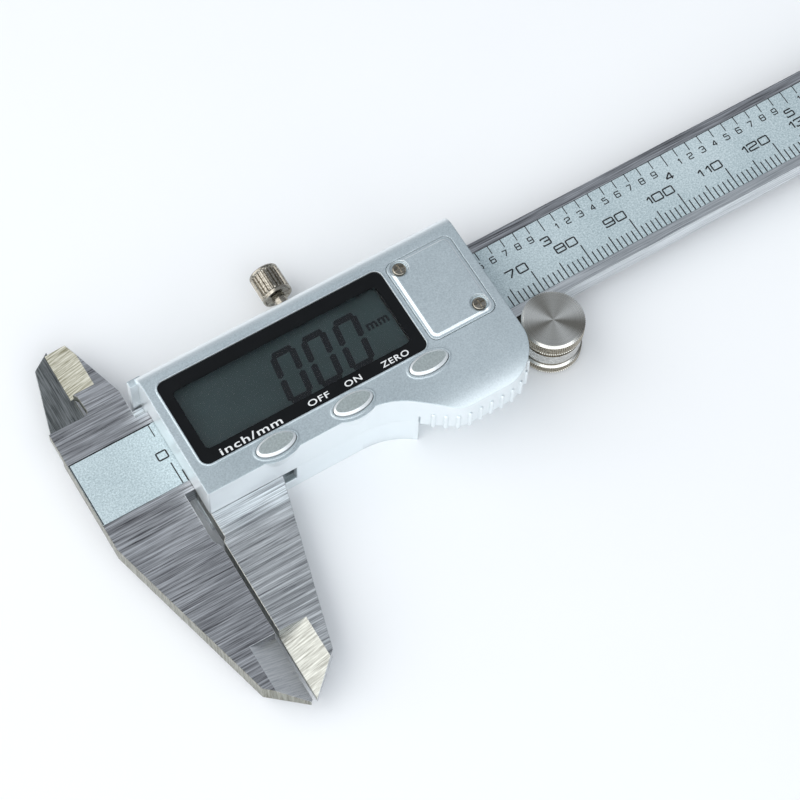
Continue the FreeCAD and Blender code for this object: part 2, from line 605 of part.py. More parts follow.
# ---- rear housing and its screws --------------------------------------------------------------------
def make_rear_housing():
    """Tray behind the slider; its flat floor is what the caliper rests on."""
    tray = prism(REAR_OUTLINE, REST_Z, SEAM_Z)
    side_lip = box(-0.3, BODY_LEFT + 1, BODY_TOP - WALL, BODY_TOP, REST_Z, SEAM_Z)
    tray = fuse(tray, side_lip)
    cavity = prism(REAR_OUTLINE, WEB_Z, 1, WALL)
    left_opening = box(0, BODY_LEFT + WALL + 0.1, -14, 10.6, -4.15, 1)
    jaw_slot = box(0, 17.3, -14, -11.9, -4.15, 1)
    right_opening = box(BODY_RIGHT - WALL - 0.1, 61, -8.2, 8.2, -5.9, 1)
    spring_way = box(BODY_RIGHT - WALL - 0.1, 61, -11.8, -10.5, -3.8, -0.4)
    lock_way = pin_y(LOCK_X, LOCK_Z, 10, 12, 1.6)
    sinks = [countersink(x, y, REAR_THREAD) for x, y in REAR_SCREWS]
    sinks += [pin_z(x, y, REST_Z, WEB_Z, REAR_THREAD) for x, y in REAR_SCREWS]
    sinks += [countersink(x, y, LONG_THREAD) for x, y in LONG_SCREWS]
    sinks += [pin_z(x, y, REST_Z, WEB_Z, LONG_THREAD) for x, y in LONG_SCREWS]
    return cut(tray, cavity, left_opening, jaw_slot, right_opening, spring_way, lock_way, *sinks)


write("rear_housing", make_rear_housing())
write("rear_screws", group([
    countersunk_screw(x, y, WEB_TOP_Z - 0.2, REAR_THREAD) for x, y in REAR_SCREWS
]))
write("housing_screws", group([
    countersunk_screw(x, y, LONG_TIP_Z, LONG_THREAD) for x, y in LONG_SCREWS
]))
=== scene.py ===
import math

import bmesh
import bpy
from mathutils import Matrix, Vector


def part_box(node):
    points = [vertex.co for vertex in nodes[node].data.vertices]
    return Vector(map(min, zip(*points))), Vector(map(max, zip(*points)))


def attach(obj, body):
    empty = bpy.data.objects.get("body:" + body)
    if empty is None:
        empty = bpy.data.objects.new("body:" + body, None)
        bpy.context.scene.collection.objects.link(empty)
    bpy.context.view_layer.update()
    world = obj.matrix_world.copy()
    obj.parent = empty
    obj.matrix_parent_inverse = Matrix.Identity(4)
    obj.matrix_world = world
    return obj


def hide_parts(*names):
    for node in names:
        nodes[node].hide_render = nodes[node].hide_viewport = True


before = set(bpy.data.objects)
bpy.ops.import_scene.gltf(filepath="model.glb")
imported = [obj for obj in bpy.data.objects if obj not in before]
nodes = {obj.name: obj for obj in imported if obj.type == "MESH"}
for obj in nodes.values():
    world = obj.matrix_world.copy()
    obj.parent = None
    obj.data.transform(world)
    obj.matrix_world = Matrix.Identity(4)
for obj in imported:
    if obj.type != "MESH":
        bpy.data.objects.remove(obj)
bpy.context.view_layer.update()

# ---- Camera ---------------------------------------------------------------------------------
# Places are given in millimetres in the caliper's own terms: x from the zero mark along the
# beam, y from the beam's centre line, z from its printed face. at() puts them in the frame.
MM = 0.001
FIXED_JAW_WIDTH = 14.9
LABEL_PROUD = 0.03
HEADING, ELEVATION, ROLL = 33.38, 64.94, 2.59
LENS, SENSOR = 114.6, 36.0
label_low, label_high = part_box("scale_label")
ZERO = Vector((
    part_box("beam")[0].x + FIXED_JAW_WIDTH * MM,
    (label_low.y + label_high.y) / 2,
    label_high.z - LABEL_PROUD * MM,
))


def at(x, y, z):
    return ZERO + Vector((x, y, z)) * MM


camera_data = bpy.data.cameras.new("camera")
camera_data.lens = LENS
camera_data.sensor_width = SENSOR
camera_data.clip_start, camera_data.clip_end = 0.02, 20
camera = bpy.data.objects.new("camera", camera_data)
look = Matrix.Rotation(-math.radians(HEADING), 4, "Z")
look = look @ Matrix.Rotation(math.radians(90 - ELEVATION), 4, "X")
look = look @ Matrix.Rotation(math.radians(ROLL), 4, "Z")
AIM, DISTANCE = at(38.25, -11.26, 0), 423.34 * MM
camera.matrix_world = Matrix.Translation(AIM + look.to_3x3() @ Vector((0, 0, DISTANCE))) @ look
bpy.context.collection.objects.link(camera)
bpy.context.scene.camera = camera
bpy.context.scene.view_settings.view_transform = "Standard"


# ---- Floor and studio light -----------------------------------------------------------------
# A plain white sweep, lit by a broad softbox on the left, another overhead towards the
# reader, and a dim even surround that the ground steel mirrors as mid grey.
class Flow:
    """A value running through a material's nodes; arithmetic on it adds Math nodes."""

    def __init__(self, tree, socket=None):
        self.tree = tree
        self.socket = socket

    def node(self, kind, settings=(), sockets=(), out=0):
        """Adds a node, sets it first, then feeds its sockets with values or other flows."""
        made = self.tree.nodes.new("ShaderNode" + kind)
        for name, value in dict(settings).items():
            setattr(made, name, value)
        for name, value in dict(sockets).items():
            if isinstance(value, Flow):
                self.tree.links.new(value.socket, made.inputs[name])
            else:
                made.inputs[name].default_value = value
        return Flow(self.tree, made.outputs[out])

    def math(self, operation, first, second=0.0):
        return self.node("Math", {"operation": operation}, {0: first, 1: second})

    def __add__(self, other):
        return self.math("ADD", self, other)

    def __sub__(self, other):
        return self.math("SUBTRACT", self, other)

    def __rsub__(self, other):
        return self.math("SUBTRACT", other, self)

    def __mul__(self, other):
        return self.math("MULTIPLY", self, other)

    __radd__ = __add__
    __rmul__ = __mul__

    def axis(self, number):
        """One component of a vector: 0, 1 or 2."""
        return self.node("SeparateXYZ", {}, {0: self}, out=number)

    def into(self, shader, socket):
        self.tree.links.new(self.socket, shader.inputs[socket])


def new_finish(name, **constants):
    """A material with one Principled shader, and its Object coordinates as a flow."""
    material = bpy.data.materials.new(name)
    material.use_nodes = True
    tree = material.node_tree
    shader = tree.nodes["Principled BSDF"]
    for socket, value in constants.items():
        shader.inputs[socket.replace("_", " ")].default_value = value
    return material, shader, Flow(tree).node("TexCoord", out="Object")


def per_mm(place, x, y, z):
    """Coordinates counted in cells: x, y and z cells to the millimetre."""
    cells = (x / MM, y / MM, z / MM)
    return place.node("VectorMath", {"operation": "MULTIPLY"}, {0: place, 1: cells})


def noise(place, detail=2.0, roughness=0.5):
    sockets = {"Vector": place, "Scale": 1.0, "Detail": detail, "Roughness": roughness}
    return place.node("TexNoise", {}, sockets)


def between(mask, first, second):
    """Colour first where mask is 0 and second where it is 1."""
    first = first if isinstance(first, Flow) else (*first, 1)
    second = second if isinstance(second, Flow) else (*second, 1)
    return mask.node("Mix", {"data_type": "RGBA"}, {0: mask, 6: first, 7: second}, out=2)


def stretch(value, low, high):
    """Value mapped so that low becomes 0 and high becomes 1, and held there."""
    return value.node("MapRange", {}, {"Value": value, "From Min": low, "From Max": high})


def bumped(shader, height, depth_mm, strength=1.0):
    bump = height.node("Bump", {}, {"Height": height, "Distance": depth_mm * MM, "Strength": strength})
    bump.into(shader, "Normal")


bm = bmesh.new()
bmesh.ops.create_grid(bm, x_segments=1, y_segments=1, size=3.0)
floor_mesh = bpy.data.meshes.new("floor")
bm.to_mesh(floor_mesh)
bm.free()
floor = bpy.data.objects.new("floor", floor_mesh)
bpy.context.collection.objects.link(floor)
material, shader, place = new_finish("white_sweep", Roughness=0.75)
paper = noise(per_mm(place, 0.02, 0.02, 0.02), 3)
between(paper, (0.90, 0.915, 0.93), (0.93, 0.94, 0.95)).into(shader, "Base Color")
floor_mesh.materials.append(material)

SOFTBOXES = [
    ("left_softbox", (-1.05, 0.4, 0.8), (2.0, 2.0), 20.5, (1.0, 0.99, 0.97)),
    ("front_softbox", (-0.3, -1.1, 1.1), (2.0, 1.6), 15.5, (0.95, 0.98, 1.0)),
]
for name, spot, size, power, tint in SOFTBOXES:
    light = bpy.data.lights.new(name, "AREA")
    light.shape = "RECTANGLE"
    light.size, light.size_y = size
    light.energy = power
    light.color = tint
    softbox = bpy.data.objects.new(name, light)
    facing = (-Vector(spot)).to_track_quat("-Z", "Y").to_matrix().to_4x4()
    softbox.matrix_world = Matrix.Translation(spot) @ facing
    bpy.context.collection.objects.link(softbox)

world = bpy.data.worlds.new("surround")
world.use_nodes = True
bpy.context.scene.world = world
world.node_tree.nodes["Background"].inputs["Color"].default_value = (0.86, 0.92, 1.0, 1)
world.node_tree.nodes["Background"].inputs["Strength"].default_value = 0.41


# ---- Beam with the fixed jaws ---------------------------------------------------------------
# One piece of stainless steel, ground along its length on the flats and across on the knife
# facets, its sharp edges broken with a stone.
def broken_edges(node, width, segments=2, angle=32):
    """Rounds a CAD node's sharp edges by a stone's width, leaving its own mesh alone."""
    piece = nodes[node]
    weld = piece.modifiers.new("weld", "WELD")
    weld.merge_threshold = 0.002 * MM
    flats = piece.modifiers.new("flats", "DECIMATE")
    flats.decimate_type = "DISSOLVE"
    flats.angle_limit = math.radians(1)
    edges = piece.modifiers.new("edges", "BEVEL")
    edges.width = width * MM
    edges.segments = segments
    edges.limit_method = "ANGLE"
    edges.angle_limit = math.radians(angle)
    edges.use_clamp_overlap = False


def dress(node, material):
    """Gives a CAD node its finish."""
    slots = nodes[node].material_slots
    if not slots:
        nodes[node].data.materials.append(material)
    for slot in slots:
        slot.link = "OBJECT"
        slot.material = material


def ground_steel(name, dark, light, roughness=0.33, depth=0.006, lines=4.2,
                 facets=None, painted_dark_blade=None, painted_sheen=None):
    """Steel with fine scratches along X, and across them on the facets that lean left or right; each side's
    facets take the given shadow and shine as a painted shade and a painted highlight, a blade past a given y
    is painted dark as shade, and a given stretch of margin carries a painted highlight.
    """
    material, shader, place = new_finish(name, Metallic=1.0)
    fine = noise(per_mm(place, 0.09, lines, lines), 4, 0.7)
    streak = noise(per_mm(place, 0.05, 1.5, 1.5), 3, 0.6)
    patch = noise(per_mm(place, 0.07, 0.07, 0.07), 2)
    tone = stretch(fine * 0.75 + streak * 0.25, 0.38, 0.62)
    colour = between(tone, dark, light)
    # Facets are coloured by which way they lean: each side's shadow and shine are a painted shade and a
    # painted highlight, with the scratch grain between them.
    if facets:
        leaning = place.node("TexCoord", out="Normal").axis(0)
        for side, (grain, shadow, shine) in zip((-1, 1), facets):
            scratch = noise(per_mm(place, *grain), 3, 0.7)
            facet_grain_and_painted_light = between(stretch(scratch, 0.34, 0.66), shadow, shine)
            colour = between(stretch(leaning * side, 0.1, 0.2), colour, facet_grain_and_painted_light)
    # The moving inside blade, past y = start, is painted dark: a painted shade.
    if painted_dark_blade:
        start, ends = painted_dark_blade
        scratch = noise(per_mm(place, 4.0, 0.2, 4.0), 3, 0.7)
        painted_blade_shade = stretch(place.axis(1), *(ZERO.y + y * MM for y in (start - 0.05, start + 0.05)))
        colour = between(painted_blade_shade, colour, between(stretch(scratch, 0.34, 0.66), *ends))
    # A stretch of margin, given by x and by the edge's y, gets a painted highlight: a lighter copy of the
    # grain tone.
    if painted_sheen:
        start, end, edge, bright = painted_sheen
        painted_sheen_mask = stretch(place.axis(0), *(ZERO.x + x * MM for x in (start, end)))
        painted_sheen_mask = painted_sheen_mask * stretch(place.axis(1), *(ZERO.y + y * MM for y in (edge + 0.1, edge - 0.1)))
        colour = between(painted_sheen_mask, colour, between(tone, *bright))
    colour.into(shader, "Base Color")
    (roughness + (fine - 0.5) * 0.3 + (patch - 0.5) * 0.12).into(shader, "Roughness")
    bumped(shader, fine, depth)
    return material


# Its facets: a painted shade, warm and dark, on those that lean left, and a painted highlight, pale to white,
# on those that lean right; so warm on the inside jaw and plain on the outside jaw.
ALONG_X = (0.2, 3.6, 0.2)
beam_steel = ground_steel(
    "beam_steel", (0.15, 0.15, 0.16), (0.70, 0.72, 0.755),
    facets=[
        (ALONG_X, (0.13, 0.125, 0.085), (0.42, 0.42, 0.37)),
        (ALONG_X, (0.68, 0.70, 0.71), (1.0, 1.0, 1.0)),
    ],
    # The margin from x 40 to 66 carries a painted highlight.
    painted_sheen=(40, 66, -6.15, ((0.50, 0.53, 0.55), (0.92, 0.95, 0.97))),
)
broken_edges("beam", 0.045)
dress("beam", beam_steel)


# ---- Printed scale --------------------------------------------------------------------------
# A circuit laminate lies in the beam's groove under a satin film, printed in black with
# millimetres along one edge and inches with tenths along the other.
material, shader, place = new_finish("scale_film", Roughness=0.42, Metallic=0.25)
speckle = noise(per_mm(place, 3.4, 3.4, 3.4), 3, 0.8)
cloud = noise(per_mm(place, 0.06, 0.06, 0.06), 2)
tone = stretch(speckle * 0.8 + cloud * 0.2, 0.38, 0.62)
between(tone, (0.35, 0.445, 0.475), (0.67, 0.77, 0.80)).into(shader, "Base Color")
(0.38 + speckle * 0.16).into(shader, "Roughness")
bumped(shader, speckle, 0.006)
dress("scale_label", material)

material, shader, place = new_finish("laminate", Roughness=0.5)
weave = noise(per_mm(place, 2.5, 2.5, 2.5), 3)
between(weave, (0.02, 0.09, 0.04), (0.04, 0.15, 0.07)).into(shader, "Base Color")
bumped(shader, weave, 0.01)
laminate = material
dress("scale_circuit", laminate)

material, shader, place = new_finish("print_black", Roughness=0.5)
mottle = noise(per_mm(place, 3, 3, 3), 2)
between(mottle, (0.006, 0.007, 0.009), (0.018, 0.02, 0.023)).into(shader, "Base Color")
(0.42 + mottle * 0.2).into(shader, "Roughness")
print_black = material

FILM_Z = 0.03
PRINT_RISE = 0.008
LABEL_HALF = 6.12
INCH = 25.4
SCALE_END = 155
GLYPHS = {
    "0": [([(0, 0), (1, 0), (1, 1), (0, 1)], True)],
    "1": [([(0.28, 0.70), (0.62, 1), (0.62, 0)], False)],
    "2": [([(0, 0.80), (0, 1), (1, 1), (1, 0.54), (0, 0.42), (0, 0), (1, 0)], False)],
    "3": [([(0, 0.82), (0, 1), (1, 1), (1, 0), (0, 0), (0, 0.18)], False), ([(0.3, 0.52), (1, 0.52)], False)],
    "4": [([(0.74, 0), (0.74, 1), (0, 0.28), (1, 0.28)], False)],
    "5": [([(0.95, 1), (0.04, 1), (0.04, 0.60), (1, 0.60), (1, 0), (0, 0), (0, 0.18)], False)],
    "6": [([(1, 0.84), (1, 1), (0, 1), (0, 0), (1, 0), (1, 0.56), (0, 0.56)], False)],
    "7": [([(0, 1), (1, 1), (0.36, 0)], False)],
    "8": [([(0, 0), (1, 0), (1, 1), (0, 1)], True), ([(0, 0.53), (1, 0.53)], False)],
    "9": [([(0, 0.16), (0, 0), (1, 0), (1, 1), (0, 1), (0, 0.44), (1, 0.44)], False)],
}
ROUNDING = 0.26


def add_stroke(curve, corners, closed):
    """One pen stroke through corners in mm, its bends eased like engraved lettering."""
    points = []
    count = len(corners)
    for i, (x, y) in enumerate(corners):
        if not closed and i in (0, count - 1):
            points.append((x, y))
            continue
        for neighbour in (corners[i - 1], None, corners[(i + 1) % count]):
            if neighbour is None:
                points.append((x, y))
            else:
                points.append((x + (neighbour[0] - x) * ROUNDING, y + (neighbour[1] - y) * ROUNDING))
    spline = curve.splines.new("NURBS")
    spline.points.add(len(points) - 1)
    for point, (x, y) in zip(spline.points, points):
        point.co = (*at(x, y, FILM_Z), 1)
    spline.use_cyclic_u = closed
    spline.use_endpoint_u = not closed
    spline.order_u = 3
    spline.resolution_u = 2


def add_number(curve, text, right, base, width, height, gap, narrow=0.62):
    """Writes text so that it ends at x = right; a 1 takes less room than the others."""
    for character in reversed(text):
        room = width * narrow if character == "1" else width
        left = right - room
        for corners, closed in GLYPHS[character]:
            add_stroke(curve, [(left + x * width, base + y * height) for x, y in corners], closed)
        right -= room + gap


def pen(name, half_width):
    curve = bpy.data.curves.new(name, "CURVE")
    curve.dimensions = "3D"
    curve.bevel_depth = half_width * MM
    curve.bevel_resolution = 0
    curve.use_fill_caps = True
    return curve


def flattened(curve, bm):
    """Adds a pen's strokes to bm, pressed flat on to the film."""
    drawn = bpy.data.objects.new(curve.name, curve)
    bpy.context.collection.objects.link(drawn)
    mesh = bpy.data.meshes.new_from_object(drawn.evaluated_get(bpy.context.evaluated_depsgraph_get()))
    bpy.data.objects.remove(drawn)
    start = len(bm.verts)
    bm.from_mesh(mesh)
    bm.verts.ensure_lookup_table()
    level = at(0, 0, FILM_Z).z
    for vert in bm.verts[start:]:
        vert.co.z = level + (vert.co.z - level) * PRINT_RISE / (curve.bevel_depth / MM)


def add_bar(bm, x, y0, y1, width, z=FILM_Z, rise=PRINT_RISE):
    """Straight printed line across the beam from y0 to y1."""
    size = Vector((width, abs(y1 - y0), 2 * rise)) * MM
    centre = at(x, (y0 + y1) / 2, z)
    bmesh.ops.create_cube(bm, size=1, matrix=Matrix.Translation(centre) @ Matrix.Diagonal((*size, 1)))


def keep(bm, name, body, slot, *materials):
    """Turns a finished bmesh into a piece that rides on a CAD body."""
    bmesh.ops.recalc_face_normals(bm, faces=bm.faces)
    mesh = bpy.data.meshes.new(name)
    bm.to_mesh(mesh)
    bm.free()
    piece = bpy.data.objects.new(name, mesh)
    bpy.context.collection.objects.link(piece)
    for material in materials:
        mesh.materials.append(material)
    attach(piece, body)
    return piece


bm = bmesh.new()
for mark in range(SCALE_END + 1):
    if mark % 10 == 0:
        long = 4.24
    elif mark % 5 == 0:
        long = 3.14
    else:
        long = 2.2
    add_bar(bm, mark, -LABEL_HALF, -LABEL_HALF + long, 0.22)
for mark in range(61):
    long = 2.6 if mark % 10 == 0 else 1.75
    add_bar(bm, mark * INCH / 10, LABEL_HALF, LABEL_HALF - long, 0.17)
film_low_x, film_high_x = -14.75, 202.0
add_bar(bm, (film_low_x + film_high_x) / 2, LABEL_HALF, LABEL_HALF - 0.11, film_high_x - film_low_x)
add_bar(bm, (film_low_x + 0.5) / 2, LABEL_HALF, LABEL_HALF - 0.24, 0.5 - film_low_x)
add_bar(bm, film_low_x + 0.1, -LABEL_HALF + 0.1, LABEL_HALF - 0.1, 0.16)

numbers = pen("numbers", 0.14)
for mark in range(10, SCALE_END, 10):
    add_number(numbers, str(mark), mark - 0.15, -1.32, 1.78, 1.42, 0.52)
add_number(numbers, "0", 0.3, -0.75, 1.78, 1.42, 0.5)
for mark in range(1, 7):
    add_number(numbers, str(mark), mark * INCH - 0.2, 1.05, 1.5, 1.42, 0.4)
flattened(numbers, bm)
small_numbers = pen("small_numbers", 0.1)
for mark in range(60):
    if mark % 10:
        add_number(small_numbers, str(mark % 10), mark * INCH / 10 - 0.12, 2.72, 0.84, 1.12, 0.3)
flattened(small_numbers, bm)
keep(bm, "scale_printing", "beam", "printed_label", print_black)


# ---- End stop -------------------------------------------------------------------------------
# A small steel plate screwed behind the beam's far end, which keeps the slider on.
plain_steel = ground_steel("steel_satin", (0.38, 0.37, 0.35), (0.62, 0.61, 0.58), 0.38, 0.003, 4.0)
nickel = ground_steel("nickel_plate", (0.22, 0.20, 0.165), (0.50, 0.47, 0.41), 0.24, 0.002, 3.0)
for node in ("end_stop", "gib_strip", "depth_rod"):
    broken_edges(node, 0.08)
    dress(node, plain_steel)
for node in ("end_stop_screws", "gib_screws", "roller_spring_screw", "board_screws"):
    dress(node, nickel)


# ---- Slider with the moving jaws ------------------------------------------------------------
# A steel channel that runs on the beam, in one piece with the moving jaws; ground like the beam, with a
# painted shade on the facets that lean left and a painted highlight on those that lean right, and its moving
# inside blade painted dark as a painted shade.
slider_steel = ground_steel(
    "slider_steel", (0.26, 0.27, 0.285), (0.95, 0.98, 1.0),
    facets=[
        (ALONG_X, (0.24, 0.24, 0.215), (0.56, 0.57, 0.53)),
        (ALONG_X, (0.45, 0.46, 0.47), (0.80, 0.82, 0.83)),
    ],
    painted_dark_blade=(12.7, ((0.09, 0.1, 0.1), (0.34, 0.36, 0.365))),
)
broken_edges("slider_frame", 0.1)
dress("slider_frame", slider_steel)


# ---- Lock screw -----------------------------------------------------------------------------
# Nickel-plated brass thumb screw with coarse straight flutes, turned from bar.
def turned(rings, segments, tooth=0.0, duty=2):
    """Closed turned piece about Z in mm: rings of (height, radius, share of the tooth depth)."""
    bm = bmesh.new()
    height, radius, share = rings[0]
    bmesh.ops.create_circle(bm, cap_ends=True, segments=segments, radius=1.0)
    ring = sorted(bm.verts, key=lambda v: math.atan2(v.co.y, v.co.x))
    turns = [math.atan2(v.co.y, v.co.x) for v in ring]

    def shape(ring, height, radius, share):
        for i, vert in enumerate(ring):
            reach = radius - tooth * share * (1 if i % duty >= duty / 2 else 0)
            vert.co = Vector((math.cos(turns[i]) * reach, math.sin(turns[i]) * reach, height)) * MM

    shape(ring, height, radius, share)
    edges = list(bm.edges)
    for height, radius, share in rings[1:]:
        grown = bmesh.ops.extrude_edge_only(bm, edges=edges)["geom"]
        fresh = [e for e in grown if isinstance(e, bmesh.types.BMVert)]
        edges = [e for e in grown if isinstance(e, bmesh.types.BMEdge) and all(v in fresh for v in e.verts)]
        fresh.sort(key=lambda v: math.atan2(v.co.y, v.co.x))
        shape(fresh, height, radius, share)
    bmesh.ops.contextual_create(bm, geom=edges)
    return bm


lock_low, lock_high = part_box("lock_screw")
LOCK_HEAD = 5.5
FLUTES, FLUTE_POINTS, FLUTE_DEPTH = 22, 6, 0.3
head_end = (lock_high.y - ZERO.y) / MM
head_start = head_end - LOCK_HEAD
shank_start = (lock_low.y - ZERO.y) / MM
bm = turned([
    (head_start + 0.5, 1.3, 0), (head_start + 0.3, 2.2, 0), (head_start, 2.45, 0),
    (head_start + 0.05, 2.65, 0), (head_start + 0.3, 2.74, 0), (head_start + 0.6, 2.72, 0),
    (head_start + 0.75, 2.6, 0.3), (head_start + 0.95, 2.7, 1), (head_end - 0.9, 2.7, 1),
    (head_end - 0.7, 2.6, 0.3), (head_end - 0.55, 2.68, 0), (head_end - 0.28, 2.68, 0),
    (head_end - 0.1, 2.56, 0), (head_end, 2.3, 0), (head_end, 0.9, 0), (head_end - 0.12, 0.4, 0),
], FLUTES * FLUTE_POINTS, FLUTE_DEPTH, FLUTE_POINTS)
shank = turned([
    (shank_start, 0.9, 0), (shank_start + 0.3, 1.2, 0), (head_start + 0.2, 1.2, 0),
], 32)
shank_mesh = bpy.data.meshes.new("shank")
shank.to_mesh(shank_mesh)
shank.free()
bm.from_mesh(shank_mesh)
lock_centre = (lock_low + lock_high) / 2
stand = Matrix.Translation((lock_centre.x, ZERO.y, lock_centre.z)) @ Matrix.Rotation(-math.pi / 2, 4, "X")
bmesh.ops.transform(bm, matrix=stand, verts=bm.verts)
lock_piece = keep(bm, "lock_screw_fluted", "lock_screw", "nickel_steel", nickel)
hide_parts("lock_screw")


# ---- Thumb roller ---------------------------------------------------------------------------
# Nickel-plated spool: two knurled rims with a plain hub between, faced in the lathe so that
# its top shows fine rings; the fans of light across it are a painted reflection in its colour.
roller_low, roller_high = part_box("thumb_roller")
roller_x, roller_y = (roller_low.x + roller_high.x) / 2, (roller_low.y + roller_high.y) / 2
material, shader, place = new_finish("turned_nickel", Metallic=1.0)
centred = place.node("VectorMath", {"operation": "SUBTRACT"}, {0: place, 1: (roller_x, roller_y, 0)})
angle = centred.math("ARCTAN2", centred.axis(1), centred.axis(0))
radius = centred.node("VectorMath", {"operation": "LENGTH"}, {0: per_mm(centred, 1, 1, 0)}, out="Value")
# Painted reflection: bright and dark fans by angle round the centre, mixed with the turning rings.
painted_fan_light = angle.math("SINE", angle * 3.0 + 0.9) * 0.45 + angle.math("SINE", angle * 5.0 + 2.2) * 0.35
rings = radius.node("TexNoise", {"noise_dimensions": "1D"}, {"W": radius, "Scale": 9.0, "Detail": 2.0})
tone = stretch(painted_fan_light + (rings - 0.5) * 0.5, -0.7, 0.7)
face = between(tone, (0.30, 0.285, 0.25), (0.95, 0.94, 0.89))
# The side walls are coloured darker and browner than the top, chosen by which way the surface faces.
wall = stretch(place.node("TexCoord", out="Normal").axis(2), 0.8, 0.5)
between(wall, face, (0.42, 0.38, 0.31)).into(shader, "Base Color")
(0.26 + (rings - 0.5) * 0.25).into(shader, "Roughness")
bumped(shader, rings, 0.004)
turned_nickel = material

KNURLS, KNURL_POINTS, KNURL_DEPTH = 90, 4, 0.16
REST_DEPTH = 7.0
bottom, lower, upper, top = (z + REST_DEPTH for z in (-6.5, -4.3, 0.15, 3.0))
rim = 5.44
bm = turned([
    (bottom, 4.9, 0), (bottom + 0.12, 5.2, 0), (bottom + 0.25, rim, 0.2), (bottom + 0.32, rim, 1),
    (lower - 0.32, rim, 1), (lower - 0.25, rim, 0.2), (lower - 0.1, 5.2, 0), (lower, 5.0, 0),
    (lower, 4.9, 0), (lower, 4.7, 0), (upper, 4.7, 0), (upper, 4.9, 0), (upper + 0.1, 5.2, 0),
    (upper + 0.25, rim, 0.2), (upper + 0.32, rim, 1), (top - 0.32, rim, 1), (top - 0.25, rim, 0.2),
    (top - 0.12, 5.2, 0), (top, 4.95, 0), (top, 4.0, 0), (top, 1.0, 0),
], KNURLS * KNURL_POINTS, KNURL_DEPTH, KNURL_POINTS)
bmesh.ops.transform(bm, matrix=Matrix.Translation((roller_x, roller_y, 0)), verts=bm.verts)
roller_piece = keep(bm, "thumb_roller_knurled", "thumb_roller", "nickel_steel", turned_nickel)
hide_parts("thumb_roller")
spring_steel = ground_steel("spring_steel", (0.52, 0.51, 0.48), (0.82, 0.81, 0.78), 0.26, 0.002, 3.0)
dress("roller_spring", spring_steel)


# ---- Electronics inside ---------------------------------------------------------------------
# Circuit board, driver, snap domes, display cradle, contact strips and the cell in its holder.
material, shader, place = new_finish("inner_black", Roughness=0.55)
mottle = noise(per_mm(place, 2, 2, 2), 3)
between(mottle, (0.012, 0.012, 0.013), (0.03, 0.03, 0.032)).into(shader, "Base Color")
(0.45 + mottle * 0.25).into(shader, "Roughness")
bumped(shader, mottle, 0.01)
inner_black = material
dress("circuit_board", laminate)
for node in ("driver_chip", "display_frame", "display_contacts", "battery_holder"):
    dress(node, inner_black)
for node in ("switch_domes", "battery_contact_negative", "battery_contact_positive", "battery_cell"):
    dress(node, spring_steel)


# ---- Front housing --------------------------------------------------------------------------
# Die-cast cover in satin silver, with a fine orange-peel grain and edges rounded in shading; its steep faces
# carry a painted highlight, a lighter colour chosen by their slope.
material, shader, place = new_finish("satin_silver", Metallic=0.62, Coat_Weight=0.3, Coat_Roughness=0.1)
grain = noise(per_mm(place, 3.6, 3.6, 3.6), 3, 0.75)
cloud = noise(per_mm(place, 0.05, 0.05, 0.05), 2)
tone = stretch(grain * 0.65 + cloud * 0.35, 0.35, 0.65)
face = between(tone, (0.465, 0.545, 0.58), (0.685, 0.775, 0.815))
# Painted highlight: the further a face leans from flat, the lighter its colour.
leaning = stretch(place.node("TexCoord", out="Normal").axis(2), 0.985, 0.80)
between(leaning, face, (0.87, 0.92, 0.94)).into(shader, "Base Color")
(0.34 + (grain - 0.5) * 0.25).into(shader, "Roughness")
rounding = place.node("Bevel", {"samples": 6}, {"Radius": 0.3 * MM})
relief = {"Height": grain, "Distance": 0.008 * MM, "Normal": rounding}
grain.node("Bump", {}, relief).into(shader, "Normal")
satin_silver = material
dress("front_housing", satin_silver)


# ---- Display --------------------------------------------------------------------------------
# A liquid-crystal cell under a clear window, whose black border is printed on its back and
# carries the button labels in white.
material, shader, place = new_finish("display_cell", Roughness=0.3, Specular_IOR_Level=0.3)
ripple = noise(per_mm(place, 0.08, 0.08, 0.08), 2)
dust = noise(per_mm(place, 5, 5, 5), 2)
tone = stretch(ripple * 0.85 + dust * 0.15, 0.3, 0.7)
between(tone, (0.029, 0.049, 0.051), (0.046, 0.070, 0.073)).into(shader, "Base Color")
(0.28 + dust * 0.1).into(shader, "Roughness")
dress("display_glass", material)

glass_top = (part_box("display_glass")[1].z - ZERO.z) / MM
DIGIT_LEFTS = (20.5, 26.3, 32.25)
DIGIT_WIDE, DIGIT_TALL, SLANT = 4.85, 10.0, 0.138
DIGIT_BASE = -5.85
BAR = 1.3


def add_segment(bm, x, y, long, upright):
    """One bar of a digit with pointed ends, centred on x, y before the digit is slanted."""
    made = bmesh.ops.create_circle(bm, cap_ends=True, segments=6, radius=BAR / 2)["verts"]
    bmesh.ops.rotate(bm, verts=made, matrix=Matrix.Rotation(math.pi / 2, 3, "Z"))
    for vert in made:
        if abs(vert.co.x) > 0.01:
            vert.co.x += math.copysign((long - BAR) / 2, vert.co.x)
    if upright:
        bmesh.ops.rotate(bm, verts=made, matrix=Matrix.Rotation(math.pi / 2, 3, "Z"))
    bmesh.ops.translate(bm, verts=made, vec=(x, y, 0))
    return made


